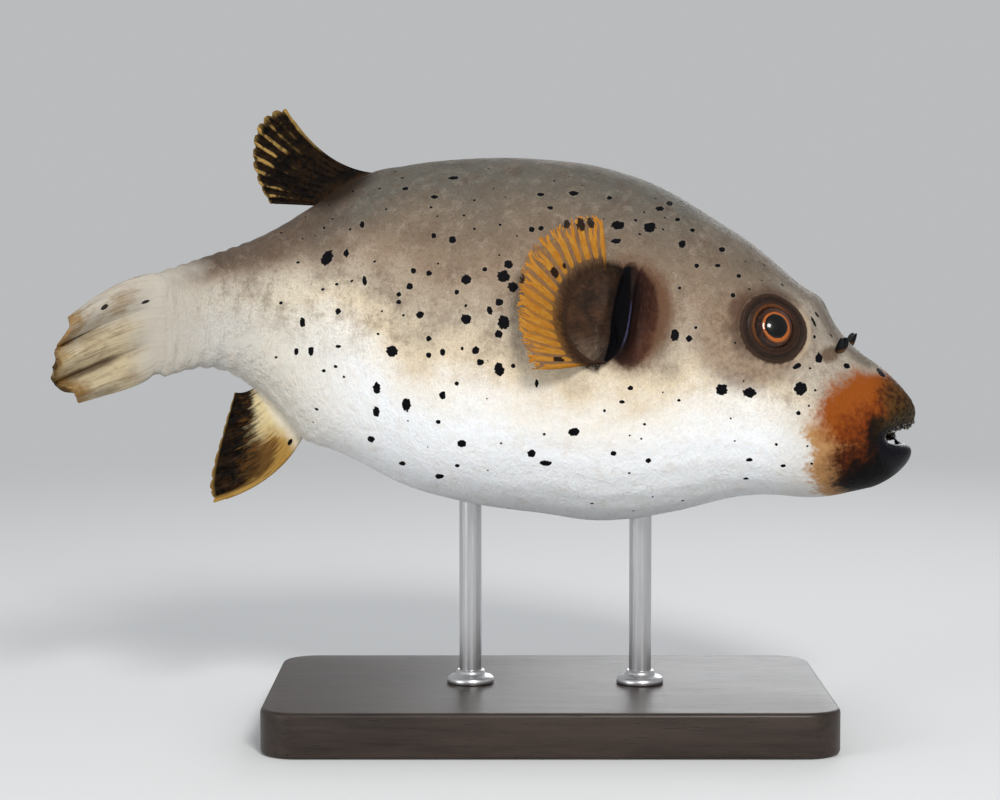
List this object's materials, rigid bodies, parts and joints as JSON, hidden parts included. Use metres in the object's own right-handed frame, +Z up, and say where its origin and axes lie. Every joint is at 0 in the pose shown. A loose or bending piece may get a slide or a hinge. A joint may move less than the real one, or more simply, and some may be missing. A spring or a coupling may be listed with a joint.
{
  "type": "blackspotted puffer fish model",
  "caption": "Still, life-size blackspotted puffer with its head and tail bent to its right, mouth ajar and fins spread, held over a flat base by short upright rods.",
  "frame": {"origin": "middle of the underside of the stand's base, which rests on the floor", "axes": "+X towards the fish's nose, -Y towards the fish's right side, +Z up"},
  "size_m": [0.2258, 0.091, 0.1673],
  "materials": {
    "skin": "satin, moist",
    "eye": "glossy",
    "nostril": "satin",
    "beak": "satin",
    "fin_yellow": "satin, moist",
    "fin_dark": "satin, moist",
    "fin_tail": "satin, moist",
    "stand_board": "matte",
    "stand_steel": "brushed"
  },
  "bodies": {
    "root": {"head": "skin", "trunk": "skin", "tail_stem": "skin", "eye_right": "eye", "eye_left": "eye", "nostril_right": "nostril", "nostril_left": "nostril", "beak_upper": "beak", "beak_lower": "beak", "pectoral_fin_right": "fin_yellow", "pectoral_fin_left": "fin_yellow", "dorsal_fin": "fin_dark", "anal_fin": "fin_dark", "caudal_fin": "fin_tail", "stand_base": "stand_board", "stand_rod_front": "stand_steel", "stand_rod_rear": "stand_steel"}
  },
  "joints": []
}
